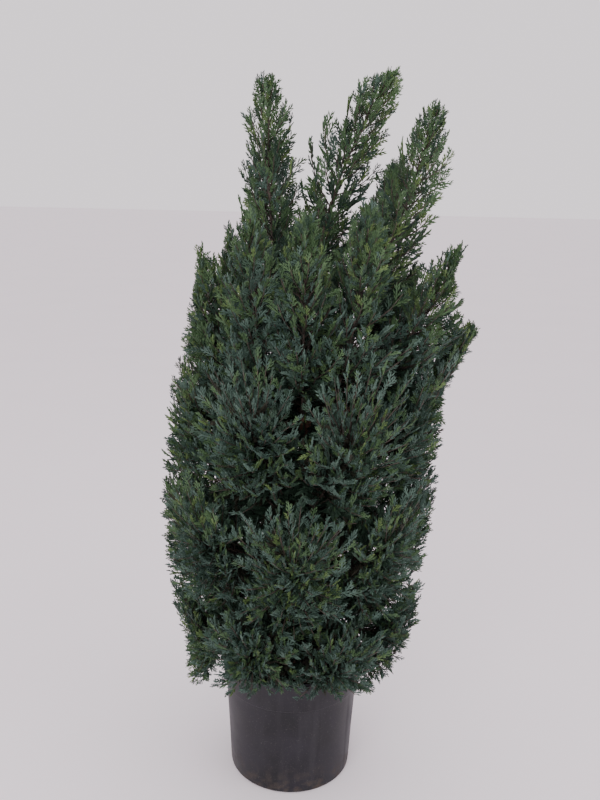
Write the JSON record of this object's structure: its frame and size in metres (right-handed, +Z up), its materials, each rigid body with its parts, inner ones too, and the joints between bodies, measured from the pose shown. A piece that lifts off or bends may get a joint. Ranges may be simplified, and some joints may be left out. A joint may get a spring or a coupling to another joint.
{
  "type": "potted ellwoodii lawson cypress",
  "caption": "Dense upright conifer with feathery plumes above rounded lower foliage, standing in a plain dark round nursery pot.",
  "frame": {"origin": "centre of the pot's flat underside, on the surface that it stands on", "axes": "+Z up along the pot's axis, -Y towards the front of the plant, +X to the right seen from the front"},
  "size_m": [0.3775, 0.3186, 0.8815],
  "materials": {
    "pot": "satin",
    "soil": "matte",
    "bark": "matte",
    "foliage": "matte"
  },
  "bodies": {
    "root": {"back_left_leader": "foliage", "back_plume": "foliage", "back_right_leader": "foliage", "belly_1": "foliage", "belly_2": "foliage", "belly_3": "foliage", "belly_4": "foliage", "belly_5": "foliage", "belly_6": "foliage", "belly_7": "foliage", "bough_back_left_leader": "bark", "bough_back_plume": "bark", "bough_back_right_leader": "bark", "bough_front_left_plume": "bark", "bough_front_plume": "bark", "bough_front_right_plume": "bark", "bough_left_back_plume": "bark", "bough_left_leader": "bark", "bough_left_shoulder": "bark", "bough_right_back_plume": "bark", "bough_right_leader": "bark", "bough_right_plume": "bark", "bough_right_shoulder": "bark", "front_left_plume": "foliage", "front_plume": "foliage", "front_right_plume": "foliage", "left_back_plume": "foliage", "left_leader": "foliage", "left_shoulder": "foliage", "middle_leader": "foliage", "pot": "pot", "right_back_plume": "foliage", "right_leader": "foliage", "right_plume": "foliage", "right_shoulder": "foliage", "skirt_1": "foliage", "skirt_2": "foliage", "skirt_3": "foliage", "skirt_4": "foliage", "skirt_5": "foliage", "skirt_6": "foliage", "skirt_7": "foliage", "soil": "soil", "trunk": "bark", "upper_side_1": "foliage", "upper_side_2": "foliage", "upper_side_3": "foliage", "upper_side_4": "foliage", "upper_side_5": "foliage", "upper_side_6": "foliage", "upper_side_7": "foliage"}
  },
  "joints": []
}
